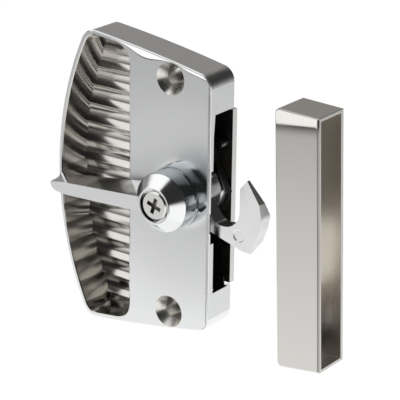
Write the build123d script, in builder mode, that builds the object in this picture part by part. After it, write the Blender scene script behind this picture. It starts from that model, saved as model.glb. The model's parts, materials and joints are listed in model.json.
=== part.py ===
from build123d import *
import math
import os

os.makedirs("parts", exist_ok=True)

# Sizes are in millimetres. X points right, Y into the door, Z up.
# The origin is midway between the two mounting screws, on the back of the housing.

# Housing shell
hole_pitch = 76.2
body_depth = 12.2
front_wall = 2.6
side_wall = 1.6
right_x = 15.0
right_half = 41.0
middle_x = -8.0
middle_half = 45.2
left_x = -32.9
left_half = 48.4
apex_x = -44.4
right_corner_r = 4.5
left_corner_r = 5.5
front_edge = 0.4

# Mounting screw holes
screw_hole_r = 3.1
screw_sink_r = 5.2
screw_sink_angle = 72
post_r = 5.6

# Finger scoop with its fluted floor
scoop_right_x = -15.7
rim_left = 1.5
rim_top = 1.5
rim_corner = 1.1
rim_right = 0.2
scoop_right_r = 6.0
scoop_left_r = 4.5
scoop_depth = 11.3
scoop_draft = 5.0
scoop_edge = 0.3
flute_pitch = 6.35
flute_shift = 1.2
flute_r = 4.8
flute_crest = 10.2
flute_count = 16
comb_width = 60.0
comb_height = 120.0

# Pivot
pivot_x = 4.75
pivot_rise = 2.4
journal_r = 4.0
running_gap = 0.05
boss_base_r = 9.9
boss_height = 4.3
boss_draft = 2.7

# Side slot that the hook works through
slot_half = 29.0
lip_front = 10.2
lip_slant = 7.0
notch_top = 11.3
notch_bottom = -12.3
notch_depth = 1.6
notch_reach = 3.0

# Hook
hook_front = 9.0
hook_thick = 5.0
hook_hub_r = 6.4
hub_lap = 0.3
cam_r = 8.8
cam_flat = 8.6
cam_back = 1.0
rear_journal_r = 3.0
square_size = 5.6
throat_lead_x = 10.6
throat_lead_z = 0.8
throat_left_x = 15.35
throat_right_x = 24.15
throat_floor = -6.1
throat_left_r = 5.0
throat_right_r = 5.9
nose_root_z = 7.4
nose_root_r = 1.5
nose_x = 26.7
nose_z = 10.4
nose_back_x = 31.3
nose_back_z = 3.6
nose_back_r = 0.6
brow_x = 32.1
brow_z = -0.8
brow_r = 5.0
nose_thick = 3.0
tip_thick = 1.2
heel_thick = 1.0
heel_fade = 3.3
heel_x = 28.5
heel_z = -12.7
heel_top_x = 31.4
heel_top_z = -4.6
shank_x = 20.6
shank_low_x = 15.8
shank_low_z = -11.7
stamp_x = 23.9
stamp_z = -8.0
stamp_r = 1.8
stamp_depth = 0.25

# Lever, with distances forward measured from the housing's front face
washer_gap = 0.7
hub_r = 9.35
hub_edge = 10.6
ring_height = 14.3
ring_r = 5.7
recess_r = 5.2
recess_floor = 11.0
blade_gap = 1.5
blade_tip_x = -42.6
blade_tip_top = -0.9
blade_tip_low = -6.2
blade_root_top = 5.7
blade_root_low = -2.35
blade_tip_low_r = 4.0
blade_draft = 7.5
blade_tip_height = 7.1
blade_slope = 0.124
boss_clear_r = 10.5
square_gap = 0.05

# Pivot screw and washers
screw_head_r = 4.6
screw_head_top = 14.1
screw_shank_r = 1.95
screw_length = 9.0
cross_width = 1.1
cross_length = 5.4
cross_depth = 1.5
lock_thick = 0.8
thrust_thick = 0.6
thrust_r = 8.7
spacer_thick = 0.5
spacer_r = 7.4
washer_bore_gap = 0.1

# Detent leaf
leaf_angle = 25.9
leaf_gap = 0.15
leaf_thick = 0.5
leaf_front = 3.4
leaf_back = 0.6
leaf_low = 5.0
leaf_post_x = 12.4
leaf_post_z = 17.6
leaf_post_r = 0.8
leaf_post_head_r = 1.2
leaf_post_head = 0.5
leaf_bend_r = 0.8
rivet_gap = 0.03

# Back plate
plate_half = 28.4
plate_front = 0.4
plate_thick = 2.2
plate_left_x = -13.6
pillar_r = 2.3
pillar_edge = 3.4
pillar_top_edge = 2.9
plate_rivet_r = 1.25
plate_rivet_head_r = 2.2
plate_rivet_head = 0.8
plate_rivet_length = 4.0
pillars = [
    (-11.0, plate_half - pillar_edge),
    (3.0, plate_half - pillar_top_edge),
    (-11.0, pillar_edge - plate_half),
]

# Keeper
keeper_x = 39.6
keeper_z = -4.2
keeper_lean = 2.35
keeper_width = 15.4
keeper_depth = 13.2
keeper_mouth_half = 39.8
keeper_taper = 4.5
keeper_wall = 1.2
keeper_corner_r = 1.6
keeper_slot_mid = -10.8
keeper_slot_height = 21.0
keeper_slot_width = 7.0
keeper_hole_half = 34.0
keeper_hole_r = 2.2

# The scoop's corners lie inside the housing's outline by the rim
scoop_apex_x = apex_x + rim_left
scoop_left_x = left_x + rim_corner
scoop_left_half = left_half - rim_top
scoop_right_half = middle_half - rim_right

# Shared planes and points
back_plane = Plane.XZ
front_plane = Plane.XZ.offset(body_depth)
chamber_depth = body_depth - front_wall
pivot = (pivot_x, pivot_rise)


with BuildPart() as flute_comb:
    with Locations(((scoop_right_x + apex_x) / 2, -(body_depth - flute_crest) / 2, 0)):
        Box(comb_width, body_depth - flute_crest, comb_height)
    flute_centre_y = -(body_depth - scoop_depth) - flute_r
    flute_places = [
        (apex_x / 2, flute_centre_y, flute_shift + flute_pitch * (k + 0.5 - flute_count / 2))
        for k in range(flute_count)
    ]
    with Locations(flute_places):
        Cylinder(flute_r, 2 * comb_width, rotation=(0, 90, 0), mode=Mode.SUBTRACT)

with BuildPart() as scoop_void:
    with BuildSketch(front_plane) as scoop_rim:
        with BuildLine():
            Line((scoop_right_x, -scoop_right_half), (scoop_right_x, scoop_right_half))
            Line((scoop_right_x, scoop_right_half), (scoop_left_x, scoop_left_half))
            ThreePointArc(
                (scoop_left_x, scoop_left_half),
                (scoop_apex_x, 0),
                (scoop_left_x, -scoop_left_half),
            )
            Line((scoop_left_x, -scoop_left_half), (scoop_right_x, -scoop_right_half))
        make_face()
        fillet(scoop_rim.vertices().group_by(Axis.X)[0], radius=scoop_left_r)
        fillet(scoop_rim.vertices().group_by(Axis.X)[-1], radius=scoop_right_r)
    extrude(amount=-scoop_depth, taper=scoop_draft)
    add(flute_comb.part, mode=Mode.SUBTRACT)

with BuildPart() as housing:
    with BuildSketch(back_plane) as body_outline:
        with BuildLine():
            ThreePointArc(
                (right_x, right_half), (middle_x, middle_half), (left_x, left_half)
            )
            ThreePointArc((left_x, left_half), (apex_x, 0), (left_x, -left_half))
            ThreePointArc(
                (left_x, -left_half), (middle_x, -middle_half), (right_x, -right_half)
            )
            Line((right_x, -right_half), (right_x, right_half))
        make_face()
        fillet(body_outline.vertices().group_by(Axis.X)[0], radius=left_corner_r)
        fillet(body_outline.vertices().group_by(Axis.X)[-1], radius=right_corner_r)
    extrude(amount=body_depth)
    chamfer(housing.faces().sort_by(Axis.Y)[0].edges(), length=front_edge)
    with BuildSketch(back_plane) as chamber_outline:
        add(body_outline.sketch_local)
        offset(amount=-side_wall)
        chamber_left = scoop_right_x + side_wall
        with Locations(((chamber_left + right_x) / 2, 0)):
            Rectangle(right_x - chamber_left, 3 * right_half, mode=Mode.INTERSECT)
    extrude(amount=chamber_depth, mode=Mode.SUBTRACT)
    add(scoop_void.part, mode=Mode.SUBTRACT)
    front_face = housing.faces().filter_by(Axis.Y).sort_by(Axis.Y)[0]
    chamfer(front_face.inner_wires()[0].edges(), length=scoop_edge)
    with BuildSketch(back_plane):
        with GridLocations(1, hole_pitch, 1, 2):
            Circle(post_r)
    extrude(amount=body_depth - front_wall / 2)
    with BuildSketch(back_plane.offset(plate_front)):
        with Locations(*pillars):
            Circle(pillar_r)
    extrude(amount=body_depth - plate_front - front_wall / 2)
    with BuildSketch(back_plane.offset(plate_front)):
        with Locations(*pillars):
            Circle(plate_rivet_r + rivet_gap)
    extrude(amount=plate_rivet_length + 0.3, mode=Mode.SUBTRACT)
    with BuildSketch(front_plane):
        with Locations(pivot):
            Circle(boss_base_r)
    extrude(amount=boss_height, taper=boss_draft)
    with BuildSketch(front_plane.offset(boss_height)):
        with Locations(pivot):
            Circle(journal_r + running_gap)
    extrude(amount=-boss_height - front_wall - 0.5, mode=Mode.SUBTRACT)
    with BuildSketch(Plane.YZ.offset(right_x + 1)):
        with Locations((-chamber_depth / 2 + 1, 0)):
            Rectangle(chamber_depth + 2, 2 * slot_half)
    extrude(amount=-side_wall - 1.2, mode=Mode.SUBTRACT)
    with BuildSketch(Plane.YZ.offset(right_x + 1)):
        with BuildLine():
            Polyline(
                (-chamber_depth + 1, slot_half),
                (-chamber_depth, slot_half),
                (-lip_front, slot_half - lip_slant),
                (-lip_front, notch_top - 1),
                (-chamber_depth + 1, notch_top - 1),
                close=True,
            )
        make_face()
    extrude(amount=-notch_reach - 1, mode=Mode.SUBTRACT)
    with BuildSketch(Plane.YZ.offset(right_x + 1)):
        with Locations((-chamber_depth, (notch_top + notch_bottom) / 2)):
            Rectangle(2 * notch_depth, notch_top - notch_bottom)
    extrude(amount=-notch_reach - 1, mode=Mode.SUBTRACT)
    with Locations(front_plane):
        with GridLocations(1, hole_pitch, 1, 2):
            CounterSinkHole(
                radius=screw_hole_r,
                counter_sink_radius=screw_sink_r,
                counter_sink_angle=screw_sink_angle,
            )

housing.part.label = "housing"
export_step(housing.part, "parts/housing.step")


with BuildPart() as lever:
    with BuildSketch(front_plane.offset(blade_gap)) as blade_outline:
        with BuildLine():
            Polyline(
                (pivot_x, blade_root_top),
                (blade_tip_x, blade_tip_top),
                (blade_tip_x, blade_tip_low),
                (pivot_x, blade_root_low),
                close=True,
            )
        make_face()
        tip_low = blade_outline.vertices().sort_by_distance((blade_tip_x, blade_tip_low, 0))[0]
        fillet(tip_low, radius=blade_tip_low_r)
    extrude(amount=ring_height - blade_gap, taper=blade_draft)
    blade_front = Plane(
        origin=(blade_tip_x, -body_depth - blade_tip_height, 0),
        x_dir=(1, -blade_slope, 0),
        z_dir=(-blade_slope, -1, 0),
    )
    split(bisect_by=blade_front, keep=Keep.BOTTOM)
    with BuildSketch(front_plane.offset(blade_gap - 0.5)):
        with Locations(pivot):
            Circle(boss_clear_r)
    hub_base = boss_height + washer_gap
    extrude(amount=hub_base - blade_gap + 0.5, mode=Mode.SUBTRACT)
    with BuildSketch(front_plane.offset(hub_base)):
        with Locations(pivot):
            Circle(hub_r)
    extrude(amount=hub_edge - hub_base)
    with BuildSketch(front_plane.offset(hub_edge)):
        with Locations(pivot):
            Circle(hub_r)
    cone_height = ring_height - hub_edge
    extrude(amount=cone_height, taper=math.degrees(math.atan2(hub_r - ring_r, cone_height)))
    with BuildSketch(front_plane.offset(ring_height)):
        with Locations(pivot):
            Circle(recess_r)
    extrude(amount=recess_floor - ring_height, mode=Mode.SUBTRACT)
    with BuildSketch(front_plane.offset(ring_height)):
        with Locations(pivot):
            Rectangle(square_size + 2 * square_gap, square_size + 2 * square_gap)
    extrude(amount=-ring_height, mode=Mode.SUBTRACT)

lever.part.label = "lever"
export_step(lever.part, "parts/lever.step")


with BuildPart() as pivot_screw:
    with BuildSketch(front_plane.offset(recess_floor + lock_thick)):
        with Locations(pivot):
            Circle(screw_head_r)
    extrude(amount=screw_head_top - recess_floor - lock_thick)
    head_face = pivot_screw.faces().sort_by(Axis.Y)[0]
    chamfer(head_face.edges(), length=0.5)
    with BuildSketch(front_plane.offset(screw_head_top)):
        with Locations(pivot):
            Rectangle(cross_length, cross_width, rotation=20)
            Rectangle(cross_width, cross_length, rotation=20)
    extrude(amount=-cross_depth, mode=Mode.SUBTRACT)
    with BuildSketch(front_plane.offset(recess_floor + lock_thick)):
        with Locations(pivot):
            Circle(screw_shank_r)
    extrude(amount=-screw_length)

pivot_screw.part.label = "pivot_screw"
export_step(pivot_screw.part, "parts/pivot_screw.step")


with BuildPart() as lock_washer:
    with BuildSketch(front_plane.offset(recess_floor)):
        with Locations(pivot):
            Circle(screw_head_r - 0.2)
            Circle(screw_shank_r + washer_bore_gap, mode=Mode.SUBTRACT)
        with Locations((pivot_x - screw_head_r / 2, pivot_rise)):
            Rectangle(screw_head_r, 0.6, mode=Mode.SUBTRACT)
    extrude(amount=lock_thick)

lock_washer.part.label = "lock_washer"
export_step(lock_washer.part, "parts/lock_washer.step")


with BuildPart() as thrust_washer:
    with BuildSketch(front_plane.offset(boss_height + (washer_gap - thrust_thick) / 2)):
        with Locations(pivot):
            Circle(thrust_r)
            Circle(journal_r + washer_bore_gap, mode=Mode.SUBTRACT)
    extrude(amount=thrust_thick)

thrust_washer.part.label = "thrust_washer"
export_step(thrust_washer.part, "parts/thrust_washer.step")


with BuildPart() as hook:
    with BuildSketch(back_plane.offset(hook_front - hook_thick)) as hook_outline:
        with BuildLine():
            Polyline(
                (pivot_x, pivot_rise + hook_hub_r - hub_lap),
                (throat_lead_x, throat_lead_z),
                (throat_left_x, throat_floor),
                (throat_right_x, throat_floor),
                (throat_right_x, nose_root_z),
                (nose_x, nose_z),
                (nose_back_x, nose_back_z),
                (brow_x, brow_z),
                (heel_top_x, heel_top_z),
                (heel_x, heel_z),
                (shank_x, heel_z),
                (shank_low_x, shank_low_z),
                (pivot_x, pivot_rise - hook_hub_r + hub_lap),
                close=True,
            )
        make_face()
        with Locations(pivot):
            Circle(hook_hub_r)
        rounds = [
            (throat_left_x, throat_floor, throat_left_r),
            (throat_right_x, throat_floor, throat_right_r),
            (throat_right_x, nose_root_z, nose_root_r),
            (nose_back_x, nose_back_z, nose_back_r),
            (brow_x, brow_z, brow_r),
        ]
        for corner_x, corner_z, corner_r in rounds:
            corner = hook_outline.vertices().sort_by_distance((corner_x, corner_z, 0))[0]
            fillet(corner, radius=corner_r)
    extrude(amount=hook_thick)
    # The nose and the heel get thinner from behind.
    nose_tip = Vector(nose_x, -hook_front + tip_thick, nose_z)
    nose_mid = Vector(nose_back_x, -hook_front + nose_thick, nose_back_z)
    nose_end = Vector(brow_x, -hook_front + hook_thick, brow_z)
    nose_normal = (nose_mid - nose_tip).cross(nose_end - nose_mid)
    if nose_normal.Y < 0:
        nose_normal = -nose_normal
    split(bisect_by=Plane(origin=nose_mid, z_dir=nose_normal), keep=Keep.BOTTOM)
    heel_out = Vector(heel_x - brow_x, 0, heel_z - brow_z).normalized()
    heel_slope = (hook_thick - heel_thick) / heel_fade
    split(
        bisect_by=Plane(
            origin=(heel_x, -hook_front + heel_thick, heel_z),
            z_dir=(heel_out.X * heel_slope, 1, heel_out.Z * heel_slope),
        ),
        keep=Keep.BOTTOM,
    )
    with BuildSketch(back_plane.offset(hook_front)):
        with Locations((stamp_x, stamp_z)):
            Circle(stamp_r)
    extrude(amount=-stamp_depth, mode=Mode.SUBTRACT)
    with BuildSketch(back_plane.offset(cam_back)):
        with Locations(pivot):
            Circle(cam_r)
        for turn in (leaf_angle, leaf_angle + 88):
            flat_x = pivot_x + (cam_flat + 1) * math.cos(math.radians(turn))
            flat_z = pivot_rise + (cam_flat + 1) * math.sin(math.radians(turn))
            with Locations((flat_x, flat_z)):
                Rectangle(2, 12, rotation=turn, mode=Mode.SUBTRACT)
    extrude(amount=hook_front - hook_thick - cam_back)
    with BuildSketch(back_plane.offset(cam_back)):
        with Locations(pivot):
            Circle(rear_journal_r)
    extrude(amount=-cam_back + plate_front - plate_thick + 0.3)
    with BuildSketch(back_plane.offset(hook_front)):
        with Locations(pivot):
            Circle(journal_r)
    extrude(amount=body_depth + boss_height + washer_gap / 2 - hook_front)
    with BuildSketch(back_plane.offset(hook_front)):
        with Locations(pivot):
            Rectangle(square_size, square_size)
    extrude(amount=body_depth + recess_floor - 0.2 - hook_front)
    with BuildSketch(front_plane.offset(recess_floor)):
        with Locations(pivot):
            Circle(screw_shank_r + 0.02)
    extrude(amount=-screw_length - 1, mode=Mode.SUBTRACT)

hook.part.label = "hook"
export_step(hook.part, "parts/hook.step")


with BuildPart() as spacer_washer:
    with BuildSketch(back_plane.offset(hook_front + (chamber_depth - hook_front - spacer_thick) / 2)):
        with Locations(pivot):
            Circle(spacer_r)
            Circle(journal_r + washer_bore_gap, mode=Mode.SUBTRACT)
    extrude(amount=spacer_thick)

spacer_washer.part.label = "spacer_washer"
export_step(spacer_washer.part, "parts/spacer_washer.step")


with BuildPart() as detent_spring:
    # A leaf with a rolled eye: its low end bears on the flats of the hook's cam.
    leaf_dist = cam_r + leaf_gap + leaf_thick / 2
    lean_cos = math.cos(math.radians(leaf_angle))
    lean_sin = math.sin(math.radians(leaf_angle))
    eye_r = leaf_post_r + rivet_gap + leaf_thick / 2
    foot_z = leaf_post_z - eye_r
    leaf_rise = (foot_z - pivot_rise - leaf_dist * lean_sin) / lean_cos
    bend_x = pivot_x + leaf_dist * lean_cos - leaf_rise * lean_sin
    low_x = pivot_x + leaf_dist * lean_cos + leaf_low * lean_sin
    low_z = pivot_rise + leaf_dist * lean_sin - leaf_low * lean_cos
    with BuildSketch(back_plane.offset(leaf_back)):
        with BuildLine():
            FilletPolyline(
                (leaf_post_x, foot_z), (bend_x, foot_z), (low_x, low_z), radius=leaf_bend_r
            )
        trace(line_width=leaf_thick)
        with Locations((leaf_post_x, leaf_post_z)):
            Circle(eye_r + leaf_thick / 2)
            Circle(eye_r - leaf_thick / 2, mode=Mode.SUBTRACT)
    extrude(amount=leaf_front - leaf_back)

detent_spring.part.label = "detent_spring"
export_step(detent_spring.part, "parts/detent_spring.step")


with BuildPart() as spring_rivet:
    with BuildSketch(back_plane.offset(plate_front - plate_thick)):
        with Locations((leaf_post_x, leaf_post_z)):
            Circle(leaf_post_r)
    extrude(amount=plate_thick - plate_front + leaf_front + rivet_gap)
    with BuildSketch(back_plane.offset(leaf_front + rivet_gap)):
        with Locations((leaf_post_x, leaf_post_z)):
            Circle(leaf_post_head_r)
    extrude(amount=leaf_post_head)

spring_rivet.part.label = "spring_rivet"
export_step(spring_rivet.part, "parts/spring_rivet.step")


with BuildPart() as back_plate:
    with BuildSketch(back_plane.offset(plate_front)):
        with Locations(((plate_left_x + right_x) / 2, 0)):
            Rectangle(right_x - plate_left_x, 2 * plate_half)
        with Locations(pivot):
            Circle(rear_journal_r + running_gap, mode=Mode.SUBTRACT)
        with Locations(*pillars):
            Circle(plate_rivet_r + rivet_gap, mode=Mode.SUBTRACT)
        with Locations((leaf_post_x, leaf_post_z)):
            Circle(leaf_post_r + rivet_gap, mode=Mode.SUBTRACT)
    extrude(amount=-plate_thick)

back_plate.part.label = "back_plate"
export_step(back_plate.part, "parts/back_plate.step")


with BuildPart() as plate_rivet_1:
    with BuildSketch(back_plane.offset(plate_front - plate_thick)):
        with Locations(pillars[0]):
            Circle(plate_rivet_head_r)
    extrude(amount=-plate_rivet_head)
    with BuildSketch(back_plane.offset(plate_front - plate_thick)):
        with Locations(pillars[0]):
            Circle(plate_rivet_r)
    extrude(amount=plate_thick + plate_rivet_length)

plate_rivet_1.part.label = "plate_rivet_1"
export_step(plate_rivet_1.part, "parts/plate_rivet_1.step")


with BuildPart() as plate_rivet_2:
    with BuildSketch(back_plane.offset(plate_front - plate_thick)):
        with Locations(pillars[1]):
            Circle(plate_rivet_head_r)
    extrude(amount=-plate_rivet_head)
    with BuildSketch(back_plane.offset(plate_front - plate_thick)):
        with Locations(pillars[1]):
            Circle(plate_rivet_r)
    extrude(amount=plate_thick + plate_rivet_length)

plate_rivet_2.part.label = "plate_rivet_2"
export_step(plate_rivet_2.part, "parts/plate_rivet_2.step")


with BuildPart() as plate_rivet_3:
    with BuildSketch(back_plane.offset(plate_front - plate_thick)):
        with Locations(pillars[2]):
            Circle(plate_rivet_head_r)
    extrude(amount=-plate_rivet_head)
    with BuildSketch(back_plane.offset(plate_front - plate_thick)):
        with Locations(pillars[2]):
            Circle(plate_rivet_r)
    extrude(amount=plate_thick + plate_rivet_length)

plate_rivet_3.part.label = "plate_rivet_3"
export_step(plate_rivet_3.part, "parts/plate_rivet_3.step")


lean_x = math.cos(math.radians(keeper_lean))
lean_z = math.sin(math.radians(keeper_lean))
keeper_plane = Plane(origin=(keeper_x, 0, keeper_z), x_dir=(lean_x, 0, lean_z), z_dir=(0, -1, 0))
keeper_side = Plane(
    origin=(keeper_x, 0, keeper_z), x_dir=(0, 1, 0), z_dir=(lean_x, 0, lean_z)
)
keeper_back_half = keeper_mouth_half + keeper_width * math.tan(math.radians(keeper_taper))
keeper_mid_y = -body_depth + keeper_depth / 2

with BuildPart() as keeper:
    with BuildSketch(keeper_plane.offset(body_depth)) as keeper_outline:
        with BuildLine():
            Polyline(
                (0, keeper_back_half),
                (0, -keeper_back_half),
                (keeper_width, -keeper_mouth_half),
                (keeper_width, keeper_mouth_half),
                close=True,
            )
        make_face()
        fillet(keeper_outline.vertices().group_by(Axis.X)[0], radius=keeper_corner_r)
    extrude(amount=-keeper_depth)
    front_edges = keeper.faces().sort_by(Axis.Y)[0].edges().sort_by(Axis.X)[:-1]
    chamfer(front_edges, length=front_edge)
    with BuildSketch(keeper_plane.offset(body_depth - keeper_wall)):
        with BuildLine():
            Polyline(
                (keeper_wall, keeper_back_half - keeper_wall),
                (keeper_wall, -keeper_back_half + keeper_wall),
                (keeper_width + 1, -keeper_mouth_half + keeper_wall),
                (keeper_width + 1, keeper_mouth_half - keeper_wall),
                close=True,
            )
        make_face()
    extrude(amount=-keeper_depth + 2 * keeper_wall, mode=Mode.SUBTRACT)
    with BuildSketch(keeper_side.offset(-1)):
        with Locations((-hook_front + hook_thick / 2, keeper_slot_mid)):
            Rectangle(keeper_slot_width, keeper_slot_height)
    extrude(amount=keeper_wall + 2, mode=Mode.SUBTRACT)
    with BuildSketch(keeper_side.offset(-1)):
        with Locations((keeper_mid_y, keeper_hole_half), (keeper_mid_y, -keeper_hole_half)):
            Circle(keeper_hole_r)
    extrude(amount=keeper_wall + 2, mode=Mode.SUBTRACT)

keeper.part.label = "keeper"
export_step(keeper.part, "parts/keeper.step")
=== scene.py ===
import json
import math
import bpy
from mathutils import Matrix, Vector


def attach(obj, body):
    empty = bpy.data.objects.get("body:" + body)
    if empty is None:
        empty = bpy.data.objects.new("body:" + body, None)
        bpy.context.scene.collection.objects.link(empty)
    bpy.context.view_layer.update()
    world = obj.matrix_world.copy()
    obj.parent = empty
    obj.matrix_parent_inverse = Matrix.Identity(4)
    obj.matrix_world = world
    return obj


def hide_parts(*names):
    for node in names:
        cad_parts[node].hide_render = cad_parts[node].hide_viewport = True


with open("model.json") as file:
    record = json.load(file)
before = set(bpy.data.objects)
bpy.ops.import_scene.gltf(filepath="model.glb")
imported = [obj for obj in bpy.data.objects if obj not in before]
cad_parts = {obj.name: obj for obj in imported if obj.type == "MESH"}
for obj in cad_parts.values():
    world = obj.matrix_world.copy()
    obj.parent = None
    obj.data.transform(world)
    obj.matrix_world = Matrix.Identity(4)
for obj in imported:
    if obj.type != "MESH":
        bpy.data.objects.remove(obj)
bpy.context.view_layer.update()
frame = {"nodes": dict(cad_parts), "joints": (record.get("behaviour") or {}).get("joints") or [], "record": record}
# Sizes and places are written in millimetres, and Blender's own are in metres.
mm = 0.001
perMetre = 1000
bodyOf = {}
for bodyName, members in frame["record"]["behaviour"]["bodies"].items():
    for member in members:
        bodyOf[member] = bodyName
leverHinge = next(joint for joint in frame["joints"] if joint["name"] == "lever_turn")
pivotAt = (leverHinge["pos_m"][0] * perMetre, leverHinge["pos_m"][2] * perMetre)  # x and z of its axis


class Wire:
    # One socket of a node tree, so that shader sums read as plain sums. With no socket it starts a tree.
    def __init__(self, tree, socket=None):
        self.tree = tree
        self.socket = socket

    def make(self, kind, settings=None, values=None, output=0):
        node = self.tree.nodes.new(kind)
        for name, value in (settings or {}).items():
            setattr(node, name, value)
        for name, value in (values or {}).items():
            if isinstance(value, Wire):
                self.tree.links.new(value.socket, node.inputs[name])
            else:
                node.inputs[name].default_value = value
        return Wire(self.tree, node.outputs[output] if len(node.outputs) else None)

    def calc(self, operation, *terms):
        return self.make("ShaderNodeMath", {"operation": operation}, dict(enumerate(terms)))

    def __add__(self, other):
        return self.calc("ADD", self, other)

    def __radd__(self, other):
        return self.calc("ADD", other, self)

    def __sub__(self, other):
        return self.calc("SUBTRACT", self, other)

    def __rsub__(self, other):
        return self.calc("SUBTRACT", other, self)

    def __mul__(self, other):
        return self.calc("MULTIPLY", self, other)

    def __rmul__(self, other):
        return self.calc("MULTIPLY", other, self)

    def __truediv__(self, other):
        return self.calc("DIVIDE", self, other)

    def __pow__(self, other):
        return self.calc("POWER", self, other)

    def __neg__(self):
        return self.calc("MULTIPLY", self, -1)

    def least(self, other):
        return self.calc("MINIMUM", self, other)

    def most(self, other):
        return self.calc("MAXIMUM", self, other)

    def bell(self):
        # 1 at zero, falling away to both sides
        return self.calc("EXPONENT", -(self * self))

    def step(self, low, high):
        # 0 below low, 1 above high, smooth between; low may be the larger of the two
        flip = low > high
        limits = {"From Min": min(low, high), "From Max": max(low, high)}
        ends = {"To Min": 1.0 if flip else 0.0, "To Max": 0.0 if flip else 1.0}
        settings = {"interpolation_type": "SMOOTHSTEP"}
        return self.make("ShaderNodeMapRange", settings, {"Value": self, **limits, **ends})

    def blend(self, first, second):
        # first where this is 0, second where it is 1; both are colours, for inputs 6 and 7 and output 2
        settings = {"data_type": "RGBA"}
        return self.make("ShaderNodeMix", settings, {0: self, 6: first, 7: second}, 2)

    def split(self):
        # the three parts of a vector
        return [self.make("ShaderNodeSeparateXYZ", None, {0: self}, part) for part in range(3)]


def spotOn(material):
    return Wire(material.node_tree).make("ShaderNodeTexCoord", output="Object")


def inMillimetres(spot):
    return [part * perMetre for part in spot.split()]


def awayFrom(x, z, middle):
    # distance of a shader's spot from a point of the front view
    return ((x - middle[0]) ** 2 + (z - middle[1]) ** 2) ** 0.5


def rolledEdge(inset, width, slope, power=2):
    # depth of an edge that rolls off: full slope at the edge, flat from the width inwards
    return (1 - inset / width).most(0) ** power * (width * (slope / power))


def shaderOf(material):
    return material.node_tree.nodes["Principled BSDF"]


def feed(material, socket, wire):
    material.node_tree.links.new(wire.socket, shaderOf(material).inputs[socket])


def raised(material, height):
    # height in metres
    bump = height.make("ShaderNodeBump", None, {"Strength": 1.0, "Distance": 1.0, "Height": height})
    feed(material, "Normal", bump)


def newMetal(name, colour):
    material = bpy.data.materials.new(name)
    material.use_nodes = True
    shaderOf(material).inputs["Base Color"].default_value = (*colour, 1)
    shaderOf(material).inputs["Metallic"].default_value = 1.0
    return material


def grey(level, warm=0.0):
    return (level * (1 + warm), level, level * (1 - warm), 1)


def deselectAll():
    if bpy.context.object and bpy.context.object.mode != "OBJECT":
        bpy.ops.object.mode_set(mode="OBJECT")
    bpy.ops.object.select_all(action="DESELECT")


def pick(piece):
    deselectAll()
    piece.select_set(True)
    bpy.context.view_layer.objects.active = piece


def smoothOff(piece, angle, weight=90):
    # smooth shading up to this angle, with the large faces kept flat
    pick(piece)
    bpy.ops.object.shade_smooth_by_angle(angle=math.radians(angle))
    weighted = piece.modifiers.new("weightedNormals", "WEIGHTED_NORMAL")
    weighted.keep_sharp = True
    weighted.weight = weight
    bpy.ops.object.modifier_apply(modifier="weightedNormals")


def nodeCopy(nodeName, pieceName):
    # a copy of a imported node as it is, with the CAD's own smooth normals
    source = frame["nodes"][nodeName]
    piece = source.copy()
    piece.data = source.data.copy()
    piece.name = pieceName
    piece.parent = None
    for key in list(piece.keys()):
        del piece[key]
    bpy.context.scene.collection.objects.link(piece)
    return piece


def mergedCopy(nodeName, pieceName, flatten=0.4, merge=0.002):
    # the same with its doubles merged and its flat faces in one piece again, ready to be reshaped
    piece = nodeCopy(nodeName, pieceName)
    pick(piece)
    if piece.data.has_custom_normals:
        bpy.ops.mesh.customdata_custom_splitnormals_clear()
    bpy.ops.object.mode_set(mode="EDIT")
    bpy.ops.mesh.select_all(action="SELECT")
    bpy.ops.mesh.remove_doubles(threshold=merge * mm)
    bpy.ops.mesh.dissolve_limited(angle_limit=math.radians(flatten))
    bpy.ops.object.mode_set(mode="OBJECT")
    return piece


def bevelEdges(piece, width, segments, sharper=35):
    # rounds the edges that are sharper than this angle
    pick(piece)
    bevel = piece.modifiers.new("edgeRound", "BEVEL")
    bevel.width = width * mm
    bevel.segments = segments
    bevel.limit_method = "ANGLE"
    bevel.angle_limit = math.radians(sharper)
    bevel.use_clamp_overlap = True
    bevel.miter_outer = "MITER_ARC"
    bpy.ops.object.modifier_apply(modifier="edgeRound")


def soften(piece, look):
    bevelEdges(piece, look["round"], look["segments"])
    smoothOff(piece, look["smooth"])


def fitTo(piece, nodeName, material):
    # the piece stands for this node and moves as it does
    piece.data.materials.clear()
    piece.data.materials.append(material)
    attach(piece, bodyOf[nodeName])
    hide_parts(nodeName)


def paintWhere(piece, material, test):
    # the faces that pass the test get their own finish; it is given their middle in millimetres
    piece.data.materials.append(material)
    for face in piece.data.polygons:
        x, y, z = [perMetre * value for value in face.center]
        if test(x, y, z, face.normal):
            face.material_index = len(piece.data.materials) - 1


def fromPivot(x, z):
    return math.hypot(x - pivotAt[0], z - pivotAt[1])


def arcThrough(first, middle, last):
    # middle and radius of the circle through three points
    (ax, az), (bx, bz), (cx, cz) = first, middle, last
    divisor = 2 * (ax * (bz - cz) + bx * (cz - az) + cx * (az - bz))
    a2, b2, c2 = ax * ax + az * az, bx * bx + bz * bz, cx * cx + cz * cz
    x = (a2 * (bz - cz) + b2 * (cz - az) + c2 * (az - bz)) / divisor
    z = (a2 * (cx - bx) + b2 * (ax - cx) + c2 * (bx - ax)) / divisor
    return x, z, math.hypot(ax - x, az - z)


# corners and arc points of the housing's outline, seen from the front, as the CAD has them
outline = {"right": (15.0, 41.0), "middle": (-8.0, 45.2), "left": (-32.9, 48.4), "apex": (-44.4, 0.0)}
leftX, leftHalf = outline["left"]
topArc = arcThrough(outline["right"], outline["middle"], outline["left"])
leftArc = arcThrough((leftX, leftHalf), outline["apex"], (leftX, -leftHalf))
lowArc = (topArc[0], -topArc[1], topArc[2])


def insideBy(x, z):
    # how far a point lies inside the housing's outline, in millimetres
    gaps = [outline["right"][0] - x]
    for arcX, arcZ, radius in (topArc, leftArc, lowArc):
        gaps.append(radius - math.hypot(x - arcX, z - arcZ))
    return min(gaps)


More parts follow.
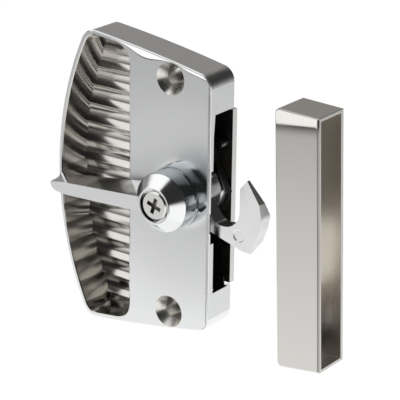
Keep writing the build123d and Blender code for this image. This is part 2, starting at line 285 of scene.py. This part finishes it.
shellPolish = {
    "colour": (0.78, 0.785, 0.79),
    "roughness": 0.045,
    "face": (-11.9, -12.1),  # the face lies past these depths
    "boss": (-12.5, -12.3),  # and the boss on it past these
    "slope": 0.9,  # of the rim's fall, at the edge
    "rim": 0.55,  # width of the fall along the rim
    "side": 1.1,  # its width along the right edge
    "upper": (30, 36),  # the sag and the corner's fall lie above these heights
    "sag": 2.4,  # how much wider the fall is at its sag
    "sagAt": -10.0,
    "sagWidth": 6.5,
    "corner": 0.95,  # how much wider it is towards the upper right corner
    "cornerFrom": (2.0, 8.0),
    "bow": 0.035,  # slope of the face's slight bow, at this distance from its middle
    "bowAt": 45.0,
    "haze": 0.44,  # the buffing round the boss is hazier than the rim
    "hazeReach": (55.0, 12.0),  # it fades out between these distances from the pivot
    "hazeFoot": (9.5, 12.5),  # and stops short of the boss
    "hazeRim": (1.5, 9.0),  # and of the top and bottom edges
    "waveScale": 60.0,  # very slight waves all over
    "waveDepth": 0.0025,
}


def makeChromePlate():
    # The polish falls away towards the rim of the housing's face, more at a soft sag and at the corner.
    material = newMetal("chromePlate", shellPolish["colour"])
    spot = spotOn(material)
    x, y, z = inMillimetres(spot)
    onFace = y.step(*shellPolish["face"])
    fromTop = topArc[2] - awayFrom(x, z.calc("ABSOLUTE", z), topArc)
    sag = ((x - shellPolish["sagAt"]) / shellPolish["sagWidth"]).bell() * shellPolish["sag"]
    corner = x.step(*shellPolish["cornerFrom"]) * shellPolish["corner"]
    width = shellPolish["rim"] + z.step(*shellPolish["upper"]) * (sag + corner)
    topFall = rolledEdge(fromTop, width, shellPolish["slope"])
    sideFall = rolledEdge(outline["right"][0] - x, shellPolish["side"], shellPolish["slope"])
    bow = z * z * (shellPolish["bow"] / (2 * shellPolish["bowAt"]))
    noise = {"Vector": spot, "Scale": shellPolish["waveScale"], "Detail": 1.0}
    waves = spot.make("ShaderNodeTexNoise", None, noise) * (shellPolish["waveDepth"] * mm)
    raised(material, waves - onFace * (topFall + sideFall + bow) * mm)
    fromPin = awayFrom(x, z, pivotAt)
    haze = fromPin.step(*shellPolish["hazeReach"]) * fromPin.step(*shellPolish["hazeFoot"])
    haze = haze * onFace * y.step(*shellPolish["boss"]) * fromTop.step(*shellPolish["hazeRim"])
    feed(material, "Roughness", haze * shellPolish["haze"] + shellPolish["roughness"])
    return material


# painted shade: a darker band in the lower flutes, just under each crest, where each flute reflects its own dark
# lower half
flutes = {
    "pitch": 6.35,
    "shift": 1.2,
    "dark": (0.21, 0.2, 0.185, 1),
    "darkFrom": (0.4, 0.75),  # it begins and ends at these parts of the pitch
    "darkTo": (1.0, 0.9),
    "reach": (-25, -33),  # it lies left of these, and below the next two
    "top": (12, -8),
}


# painted shade: the scoop's base colour is darkened in the band under each flute's crest
def fluteShade(plain, x, y, z):
    turn = (z - flutes["shift"]) / flutes["pitch"]
    phase = turn.calc("FRACT", turn)
    under = phase.step(*flutes["darkFrom"]) * phase.step(*flutes["darkTo"])
    under = under * x.step(*flutes["reach"]) * z.step(*flutes["top"])
    return under.blend(plain, flutes["dark"])


# the shallow round mark on the hook's face
hookMark = {"at": (23.9, -8.0), "radius": 1.8, "line": 0.16, "depth": 0.07}


def hookRing(x, y, z):
    ring = (awayFrom(x, z, hookMark["at"]) - hookMark["radius"]) / hookMark["line"]
    return ring.bell() * hookMark["depth"]


keeperFall = {
    "at": (39.6, -4.2),  # middle of the keeper's left edge
    "lean": 2.35,
    "half": 39.8,  # half its height there
    "taper": 0.0787,  # rise of the top edge for each millimetre outwards
    "width": 15.4,
    # each fall has its width and its slope at the edge
    "falls": [(8.0, 0.6), (80.0, 0.045)],  # the rolled band along the top, and a long slight one
    "power": 3,  # of both, which makes them soft
    "side": (1.1, 0.75),  # the rolled right edge
    "front": (-11.9, -12.1),  # the front lies past these depths
}


def keeperRoll(x, y, z):
    lean = math.radians(keeperFall["lean"])
    across = x - keeperFall["at"][0]
    rise = z - keeperFall["at"][1]
    outward = across * math.cos(lean) + rise * math.sin(lean)
    upward = rise * math.cos(lean) - across * math.sin(lean)
    fromTop = (outward * keeperFall["taper"] + keeperFall["half"]) - upward
    fall = rolledEdge(keeperFall["width"] - outward, *keeperFall["side"])
    for width, slope in keeperFall["falls"]:
        fall = fall + rolledEdge(fromTop, width, slope, keeperFall["power"])
    return y.step(*keeperFall["front"]) * fall


# painted light on the keeper's hollow: a lit band and lighter lower walls
keeperWall = {
    "lit": (0.95, 0.91, 0.85, 1),
    "litTop": (4, -4),  # the lit part lies below the first two heights and above the next two
    "litLow": (-42, -32),
    "low": (0.88, 0.84, 0.8, 1),
    "lowFrom": (-24, -34),
}


def keeperPaintedLight(plain, x, y, z):
    # painted light: the keeper's hollow is painted brightest in the lower half of its walls
    shine = z.step(*keeperWall["litTop"]) * z.step(*keeperWall["litLow"])
    return z.step(*keeperWall["lowFrom"]).blend(shine.blend(plain, keeperWall["lit"]), keeperWall["low"])


# colour, roughness and its spread, and the scale and depth of the grain, the depth in millimetres
metalLooks = {
    "leverChrome": {"colour": (0.78, 0.785, 0.79), "polish": (0.15, 0.05), "grain": (180, 0.004)},
    # painted shade: a darker, bluer chrome for the hub's side and the boss, standing for the dark reflections
    # there
    "hubSideShade": {"colour": (0.44, 0.48, 0.5), "polish": (0.1, 0.06), "grain": (180, 0.004)},
    # rougher than the face, and painted lighter: painted light on the upper right corner
    "litSoftCorner": {"colour": (0.86, 0.86, 0.85), "polish": (0.42, 0.1), "grain": (300, 0.004)},
    # rougher than the face, and its darker, warmer base colour is painted reflection of the brownish surroundings;
    # it also carries the flutes' painted shade
    "scoopChrome": {
        "colour": (0.62, 0.60, 0.57),
        "polish": (0.165, 0.05),
        "grain": (220, 0.0015),
        "paintedLightAndShade": fluteShade,
    },
    "holeChrome": {"colour": (0.74, 0.72, 0.68), "polish": (0.3, 0.12), "grain": (900, 0.02)},
    # bare zinc, painted near-black as the shade inside the slot: the chamber, the plate's front and the tongue
    "shadedZinc": {"colour": (0.10, 0.095, 0.09), "polish": (0.5, 0.2), "grain": (1200, 0.03)},
    "brightSteel": {
        "colour": (0.76, 0.75, 0.73),
        "polish": (0.2, 0.1),
        "grain": (500, 0.004),
        "stretch": (1, 1, 0.2),
    },
    # painted shade: the screw's cross recess, darker than its bright steel
    "shadedRecessSteel": {"colour": (0.34, 0.33, 0.32), "polish": (0.45, 0.2), "grain": (900, 0.02)},
    "springSteel": {
        "colour": (0.3, 0.29, 0.28),
        "polish": (0.3, 0.15),
        "grain": (400, 0.004),
        "stretch": (1, 0.15, 1),
    },
    "castNose": {"colour": (0.62, 0.61, 0.6), "polish": (0.46, 0.2), "grain": (1500, 0.16)},
    "hookSide": {"colour": (0.72, 0.715, 0.71), "polish": (0.3, 0.15), "grain": (700, 0.03)},
    "satinZinc": {
        "colour": (0.88, 0.88, 0.88),
        "polish": (0.2, 0.12),
        "grain": (350, 0.006),
        "pressed": hookRing,
    },
    "keeperChrome": {
        "colour": (0.695, 0.68, 0.65),
        "polish": (0.13, 0.05),
        "grain": (260, 0.004),
        "pressed": keeperRoll,
    },
    "keeperInside": {
        "colour": (0.78, 0.745, 0.7),
        "polish": (0.32, 0.12),
        "grain": (500, 0.02),
        "stretch": (1, 1, 0.12),
        "paintedLightAndShade": keeperPaintedLight,
    },
}


patches = {"scale": 0.35, "detail": 3.0, "edges": (0.3, 0.7)}  # their scale is a share of the grain's
grainDetail = 4.0


def wornMetal(name, colour, polish, grain, stretch=(1, 1, 1), pressed=None, paintedLightAndShade=None):
    # uneven polish: patches in the roughness, and a very fine relief, stretched where the metal is drawn
    material = newMetal(name, colour)
    spot = spotOn(material)
    drawn = spot.make("ShaderNodeVectorMath", {"operation": "MULTIPLY"}, {0: spot, 1: stretch})
    roughness, spread = polish
    scale, depth = grain
    patchNoise = {"Vector": drawn, "Scale": scale * patches["scale"], "Detail": patches["detail"]}
    uneven = spot.make("ShaderNodeTexNoise", None, patchNoise).step(*patches["edges"])
    feed(material, "Roughness", uneven * spread + (roughness - spread / 2))
    grainNoise = {"Vector": drawn, "Scale": scale, "Detail": grainDetail}
    relief = spot.make("ShaderNodeTexNoise", None, grainNoise) * (depth * mm)
    if pressed:
        relief = relief - pressed(*inMillimetres(spot)) * mm
    raised(material, relief)
    # painted light and shade that a look gives go into the base colour
    if paintedLightAndShade:
        feed(material, "Base Color", paintedLightAndShade((*colour, 1), *inMillimetres(spot)))
    return material


metal = {name: wornMetal(name, **look) for name, look in metalLooks.items()}
metal["chromePlate"] = makeChromePlate()
print("finishes ready")

# where the housing's finishes change, in millimetres
shellZones = {
    "corner": (10.0, 34.0),  # the satin corner, also painted lighter, lies right of the first and above the second
    "cornerTilt": 0.2,
    "scoopRight": -15.5,
    "scoopDepth": (-12.15, -0.3),
    "scoopInset": 0.9,  # from the housing's outline
    "chamberLeft": -14.3,
    "chamberDepth": (-9.75, -0.05),
    "chamberInset": 1.2,
    "holeRise": 38.1,
    "holeRadius": 5.1,
    "holeBack": -0.05,
    "holeTilt": -0.95,  # the flat face round the hole faces forward more than this
    "bossFoot": -12.22,  # the boss has the hub side's painted shade in front of this
}


def onCorner(x, y, z, normal):
    startX, startZ = shellZones["corner"]
    return x > startX and z > startZ and min(normal.x, normal.z) > shellZones["cornerTilt"]


def inScoop(x, y, z, normal):
    front, back = shellZones["scoopDepth"]
    inside = insideBy(x, z) > shellZones["scoopInset"]
    return inside and front < y < back and x < shellZones["scoopRight"]


def inChamber(x, y, z, normal):
    front, back = shellZones["chamberDepth"]
    inside = insideBy(x, z) > shellZones["chamberInset"]
    return inside and front < y < back and x > shellZones["chamberLeft"]


def inHole(x, y, z, normal):
    nearby = math.hypot(x, abs(z) - shellZones["holeRise"]) < shellZones["holeRadius"]
    return nearby and y < shellZones["holeBack"] and normal.y > shellZones["holeTilt"]


def onBoss(x, y, z, normal):
    return y < shellZones["bossFoot"]


def makeShell():
    shell = nodeCopy("housing", "housingShell")
    fitTo(shell, "housing", metal["chromePlate"])
    paintWhere(shell, metal["litSoftCorner"], onCorner)
    paintWhere(shell, metal["scoopChrome"], inScoop)
    # painted shade: the slot's chamber is near-black
    paintWhere(shell, metal["shadedZinc"], inChamber)
    paintWhere(shell, metal["holeChrome"], inHole)
    paintWhere(shell, metal["hubSideShade"], onBoss)


makeShell()
print("housing ready")


def turned(name, rings, steps=96):
    # a piece turned about the pivot's axis, ring by ring; a ring is a radius and a depth
    deselectAll()
    radius, depth = rings[0]
    middle = (pivotAt[0] * mm, depth * mm, pivotAt[1] * mm)
    bpy.ops.mesh.primitive_circle_add(
        vertices=steps, radius=radius * mm, location=middle, rotation=(math.pi / 2, 0, 0)
    )
    piece = bpy.context.object
    piece.name = name
    bpy.ops.object.transform_apply(location=True, rotation=True, scale=True)
    bpy.ops.object.mode_set(mode="EDIT")
    bpy.ops.mesh.select_all(action="SELECT")
    for nextRadius, nextDepth in rings[1:]:
        shift = (0, (nextDepth - depth) * mm, 0)
        bpy.ops.mesh.extrude_region_move(TRANSFORM_OT_translate={"value": shift})
        middle = (pivotAt[0] * mm, nextDepth * mm, pivotAt[1] * mm)
        ratio = nextRadius / radius
        bpy.ops.transform.resize(value=(ratio, 1, ratio), center_override=middle)
        radius, depth = nextRadius, nextDepth
    bpy.ops.mesh.select_all(action="SELECT")
    bpy.ops.mesh.normals_make_consistent(inside=False)
    bpy.ops.object.mode_set(mode="OBJECT")
    return piece


leverHub = {
    "rings": [
        (2.9, -17.3),  # the screw's hole, at the back
        (9.0, -17.22),
        (9.25, -17.3),
        (9.33, -17.45),
        (9.33, -22.55),  # the hub's side ends
        (9.28, -22.75),
        (9.12, -22.96),
        (6.0, -26.2),  # the cone ends at the raised ring
        (5.82, -26.4),
        (5.65, -26.48),
        (5.38, -26.48),
        (5.24, -26.4),
        (5.2, -26.2),
        (5.2, -23.22),  # the counterbore's floor
        (2.9, -23.2),
    ],
    "smooth": 35,
    "sideFront": -22.8,  # where the hub side's painted shade ends, and its least radius
    "sideRadius": 8,
}


def onHubSide(x, y, z, normal):
    return y > leverHub["sideFront"] and fromPivot(x, z) > leverHub["sideRadius"]


def makeHub():
    hub = turned("leverHub", leverHub["rings"])
    smoothOff(hub, leverHub["smooth"])
    return hub


leverBlade = {
    "cutRadius": 9.45,  # what lies nearer to the pivot is the hub's, and goes
    "rootShift": 0.5,  # the blade's root runs this much further into the hub
    "round": 0.55,
    "segments": 3,
    "smooth": 40,
}


def makeBlade():
    # the CAD's lever without its hub
    blade = mergedCopy("lever", "leverBlade")
    spots = [(vertex.co.x * perMetre, vertex.co.z * perMetre) for vertex in blade.data.vertices]
    near = [fromPivot(x, z) < leverBlade["cutRadius"] for x, z in spots]
    pick(blade)
    bpy.ops.object.mode_set(mode="EDIT")
    bpy.ops.mesh.select_mode(type="FACE")
    bpy.ops.mesh.select_all(action="DESELECT")
    bpy.ops.object.mode_set(mode="OBJECT")
    for face in blade.data.polygons:
        face.select = all(near[k] for k in face.vertices)
    bpy.ops.object.mode_set(mode="EDIT")
    bpy.ops.mesh.delete(type="FACE")
    bpy.ops.mesh.select_mode(type="VERT")
    bpy.ops.object.mode_set(mode="OBJECT")
    for vertex in blade.data.vertices:
        if fromPivot(vertex.co.x * perMetre, vertex.co.z * perMetre) < leverBlade["cutRadius"]:
            vertex.co.x += leverBlade["rootShift"] * mm
    soften(blade, leverBlade)
    return blade


def makeLever():
    # both are made before either takes the CAD lever's place, which hides it
    hub = makeHub()
    blade = makeBlade()
    for piece in (blade, hub):
        fitTo(piece, "lever", metal["leverChrome"])
    # painted shade on the hub's side
    paintWhere(hub, metal["hubSideShade"], onHubSide)


makeLever()
print("lever ready")

pivotScrew = {
    "tilt": 20,  # the CAD's cross stands at this angle, in degrees
    "turn": 38,  # and is turned this much further
    "crossBack": -24.5,  # the cross lies in front of this depth, within this radius
    "crossRadius": 3.2,
    "armEnd": 2,  # past this a corner is at an arm's end
    "halfWidth": 0.66,
    "halfLength": 2.6,
    "darkFront": -26.25,  # its walls and floor lie behind this one
    "darkRadius": 3.3,
}


def widerArm(reach):
    # how far a corner of the wider cross lies out along one arm
    size = pivotScrew["halfLength"] if abs(reach) > pivotScrew["armEnd"] else pivotScrew["halfWidth"]
    return math.copysign(size, reach)


def widenCross(screw):
    # each corner of the cross moves out, measured along its two arms
    cosine = math.cos(math.radians(pivotScrew["tilt"]))
    sine = math.sin(math.radians(pivotScrew["tilt"]))
    for vertex in screw.data.vertices:
        across = vertex.co.x * perMetre - pivotAt[0]
        rise = vertex.co.z * perMetre - pivotAt[1]
        inFront = vertex.co.y * perMetre < pivotScrew["crossBack"]
        if inFront and math.hypot(across, rise) < pivotScrew["crossRadius"]:
            first = widerArm(across * cosine + rise * sine)
            second = widerArm(rise * cosine - across * sine)
            vertex.co.x = (pivotAt[0] + first * cosine - second * sine) * mm
            vertex.co.z = (pivotAt[1] + second * cosine + first * sine) * mm


def inCross(x, y, z, normal):
    deep = pivotScrew["darkFront"] < y < pivotScrew["crossBack"]
    return deep and fromPivot(x, z) < pivotScrew["darkRadius"]


def makeScrew():
    screw = nodeCopy("pivot_screw", "pivotScrew")
    widenCross(screw)
    there = Matrix.Translation((pivotAt[0] * mm, 0, pivotAt[1] * mm))
    turn = Matrix.Rotation(math.radians(pivotScrew["turn"]), 4, "Y")
    screw.data.transform(there @ turn @ there.inverted())
    fitTo(screw, "pivot_screw", metal["brightSteel"])
    # painted shade: the cross's walls and floor get the darker steel
    paintWhere(screw, metal["shadedRecessSteel"], inCross)


makeScrew()
print("screw ready")

hookCasting = {
    "round": 0.5,
    "segments": 3,
    "smooth": 50,
    "sideX": 26.5,  # the side lies right of this and faces right more than this
    "sideTilt": 0.35,
    "noseX": 25.5,  # the nose lies right of this, above this, and faces right and up
    "noseZ": 2.0,
    "noseTilt": (0.4, 0.3),
}


def onHookSide(x, y, z, normal):
    return x > hookCasting["sideX"] and normal.x > hookCasting["sideTilt"]


def onNose(x, y, z, normal):
    tiltX, tiltZ = hookCasting["noseTilt"]
    return x > hookCasting["noseX"] and z > hookCasting["noseZ"] and normal.x > tiltX and normal.z > tiltZ


def makeHook():
    hook = mergedCopy("hook", "hookCasting")
    soften(hook, hookCasting)
    fitTo(hook, "hook", metal["satinZinc"])
    paintWhere(hook, metal["hookSide"], onHookSide)
    paintWhere(hook, metal["castNose"], onNose)


keeperBox = {
    "round": 0.5,
    "segments": 3,
    "smooth": 50,
    "insideX": (40.6, 54.4),  # faces within these are the hollow's walls
    "insideDepth": (-11.1, 0),
    "middle": -4.2,
    "insideHalf": 39.6,
}


def inKeeper(x, y, z, normal):
    left, right = keeperBox["insideX"]
    front, back = keeperBox["insideDepth"]
    high = abs(z - keeperBox["middle"])
    return left < x < right and front < y < back and high < keeperBox["insideHalf"]


def makeKeeper():
    keeper = mergedCopy("keeper", "keeperBox")
    soften(keeper, keeperBox)
    fitTo(keeper, "keeper", metal["keeperChrome"])
    paintWhere(keeper, metal["keeperInside"], inKeeper)


makeHook()
makeKeeper()
print("hook and keeper ready")

# slot and metal of each
steelPieces = {
    "lock_washer": ("steel", "brightSteel"),
    "thrust_washer": ("steel", "brightSteel"),
    "spacer_washer": ("steel", "brightSteel"),
    "detent_spring": ("spring_steel", "springSteel"),
    "spring_rivet": ("steel", "springSteel"),
    "back_plate": ("plate", "brightSteel"),
    "plate_rivet_1": ("steel", "brightSteel"),
    "plate_rivet_2": ("steel", "brightSteel"),
    "plate_rivet_3": ("steel", "brightSteel"),
}
plateFront = -0.5  # faces of the plate that point forward more than this get the near-black painted shade of the slot
# the thrust washer's edge, past the first radius, is drawn wider, so that its line shows
thrustEdge = {"past": 8, "radius": 8.7, "drawn": 9.2}


def onPlateFront(x, y, z, normal):
    return normal.y < plateFront


def widenThrustWasher(piece):
    wider = thrustEdge["drawn"] / thrustEdge["radius"]
    for vertex in piece.data.vertices:
        across = vertex.co.x - pivotAt[0] * mm
        rise = vertex.co.z - pivotAt[1] * mm
        if math.hypot(across, rise) > thrustEdge["past"] * mm:
            vertex.co.x = pivotAt[0] * mm + across * wider
            vertex.co.z = pivotAt[1] * mm + rise * wider


def makeSteelPieces():
    for nodeName, (slotName, metalName) in steelPieces.items():
        piece = nodeCopy(nodeName, nodeName + "Piece")
        if nodeName == "thrust_washer":
            widenThrustWasher(piece)
        fitTo(piece, nodeName, metal[metalName])
        if nodeName == "back_plate":
            paintWhere(piece, metal["shadedZinc"], onPlateFront)


# a thin tongue at the bottom of the slot, between plate and housing, painted near-black as shade
tongue = {
    "low": (-11.5, -1.3, -32.0),
    "high": (13.2, -0.45, -26.5),
    "round": 0.3,
    "segments": 2,
    "smooth": 32,
}


def makeTongue():
    deselectAll()
    corners = list(zip(tongue["low"], tongue["high"]))
    centre = [(low + high) / 2 * mm for low, high in corners]
    span = [(high - low) * mm for low, high in corners]
    bpy.ops.mesh.primitive_cube_add(size=1, location=centre, scale=span)
    plateTongue = bpy.context.object
    plateTongue.name = "plateTongue"
    bpy.ops.object.transform_apply(location=True, rotation=True, scale=True)
    soften(plateTongue, tongue)
    plateTongue.data.materials.append(metal["shadedZinc"])
    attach(plateTongue, bodyOf["back_plate"])


makeSteelPieces()
makeTongue()
print("plate, washers, spring and rivets ready")

cameraSpot = {
    "azimuth": 36.19,
    "elevation": 20.08,
    "roll": -0.76,
    "distance": 624.23 * mm,
    "sensor": 36,  # this and the lens in millimetres
    "lens": 180,
    "shiftX": 0.0176,
    "shiftY": -0.0329,
    "nearest": 10 * mm,
}


def placeCamera():
    azimuth = math.radians(cameraSpot["azimuth"])
    elevation = math.radians(cameraSpot["elevation"])
    flat = math.cos(elevation)
    back = Vector((math.sin(azimuth) * flat, -math.cos(azimuth) * flat, math.sin(elevation)))
    right = Vector((math.cos(azimuth), math.sin(azimuth), 0))
    up = back.cross(right)
    turn = Matrix((right, up, back)).transposed()
    roll = Matrix.Rotation(math.radians(-cameraSpot["roll"]), 3, "Z")
    camera = bpy.data.objects.new("camera", bpy.data.cameras.new("camera"))
    bpy.context.scene.collection.objects.link(camera)
    camera.matrix_world = Matrix.Translation(back * cameraSpot["distance"]) @ (turn @ roll).to_4x4()
    camera.data.sensor_width = cameraSpot["sensor"]
    camera.data.lens = cameraSpot["lens"]
    camera.data.shift_x = cameraSpot["shiftX"]
    camera.data.shift_y = cameraSpot["shiftY"]
    camera.data.clip_start = cameraSpot["nearest"]
    bpy.context.scene.camera = camera


placeCamera()
print("camera ready")

studio = {
    "floorDrop": 0.45,
    "floorSize": 8.0,
    "floorColour": 0.08,
    "floorGlow": 0.99,
    "rays": ("Is Camera Ray", "Is Glossy Ray", "Is Transmission Ray"),
    "card": (128, 176, 4),  # the white card behind the part: from and to, to the left, and its softness
    "cardLow": -40,  # it goes down to here from the horizon, which is this soft
    "horizon": 0.4,
    "room": (0.03, 0.0),  # level and warmth of the dark room
    "tableRise": 2.1,  # how much brighter the table gets towards straight down
    "tableEdge": 0.06,
    "tableMost": 1.12,
    "lightEdge": 0.8,  # softness of the lights' lower edges
    # level, warmth, azimuth from and to, elevation from and to, softness of the sides; in degrees
    "lights": [
        (1.2, 0.0, 46, 112, -62, -1, 8),
        (0.25, 0.0, -2, 17, -34, 0, 4),
        (0.06, 0.0, 24, 44, -30, -4, 4),
        (0.3, 0.0, -22, 12, -1, 30, 6),
        (1.25, 0.0, -88, -8, 1.6, 78, 9),
        (0.30, 0.03, -178, -92, 1.0, 89, 6),
    ],
}


def addPanels(colour, azimuth, elevation):
    # each panel covers what was there before it
    edge = studio["lightEdge"]
    for level, warm, left, right, low, high, soft in studio["lights"]:
        side = azimuth.step(left - soft, left + soft) * azimuth.step(right + soft, right - soft)
        tall = elevation.step(low - edge, low + edge) * elevation.step(high + soft, high - soft)
        colour = (side * tall).blend(colour, grey(level, warm))
    return colour


def whiteCard(azimuth, elevation, below):
    start, end, soft = studio["card"]
    low = studio["cardLow"]
    card = azimuth.step(-start + soft, -start - soft) * azimuth.step(-end - soft, -end + soft)
    return card * below * elevation.step(low - soft, low + soft)


def buildWorld():
    world = bpy.data.worlds.new("studioWorld")
    bpy.context.scene.world = world
    world.use_nodes = True
    world.node_tree.nodes.clear()
    start = Wire(world.node_tree)
    across, along, rise = start.make("ShaderNodeTexCoord", output="Generated").split()
    azimuth = across.calc("ARCTAN2", across, -along) * (180 / math.pi)
    elevation = rise.calc("ARCSINE", rise) * (180 / math.pi)
    below = elevation.step(studio["horizon"], -studio["horizon"])
    table = (studio["tableEdge"] - rise * studio["tableRise"]).least(studio["tableMost"])
    tableColour = start.make("ShaderNodeCombineColor", None, {0: table, 1: table, 2: table})
    colour = below.blend(grey(*studio["room"]), tableColour)
    colour = addPanels(colour, azimuth, elevation)
    lit = start.make("ShaderNodeBackground", None, {"Color": colour, "Strength": 1.0})
    seen = start.make("ShaderNodeBackground", None, {"Color": grey(1.0), "Strength": 1.0})
    camera, glossy, through = [start.make("ShaderNodeLightPath", output=ray) for ray in studio["rays"]]
    shown = camera.most(glossy.most(through) * whiteCard(azimuth, elevation, below))
    mix = start.make("ShaderNodeMixShader", None, {0: shown, 1: lit, 2: seen})
    start.make("ShaderNodeOutputWorld", None, {"Surface": mix})


def layFloor():
    # A plain pale floor far below. Metal sees the world's own pale table in its place.
    deselectAll()
    bpy.ops.mesh.primitive_plane_add(size=studio["floorSize"], location=(0, 0, -studio["floorDrop"]))
    floor = bpy.context.object
    floor.name = "paleFloor"
    bpy.ops.object.transform_apply(location=True, rotation=True, scale=True)
    floor.visible_glossy = False
    floor.visible_diffuse = False
    material = bpy.data.materials.new("floorPaint")
    material.use_nodes = True
    material.node_tree.nodes.clear()
    start = Wire(material.node_tree)
    paint = start.make("ShaderNodeBsdfDiffuse", None, {"Color": grey(studio["floorColour"])})
    glow = {"Color": grey(1.0), "Strength": studio["floorGlow"]}
    glow = start.make("ShaderNodeEmission", None, glow)
    both = start.make("ShaderNodeAddShader", None, {0: paint, 1: glow})
    start.make("ShaderNodeOutputMaterial", None, {"Surface": both})
    floor.data.materials.append(material)


buildWorld()
layFloor()
bpy.context.scene.view_settings.view_transform = "Standard"
print("studio ready")
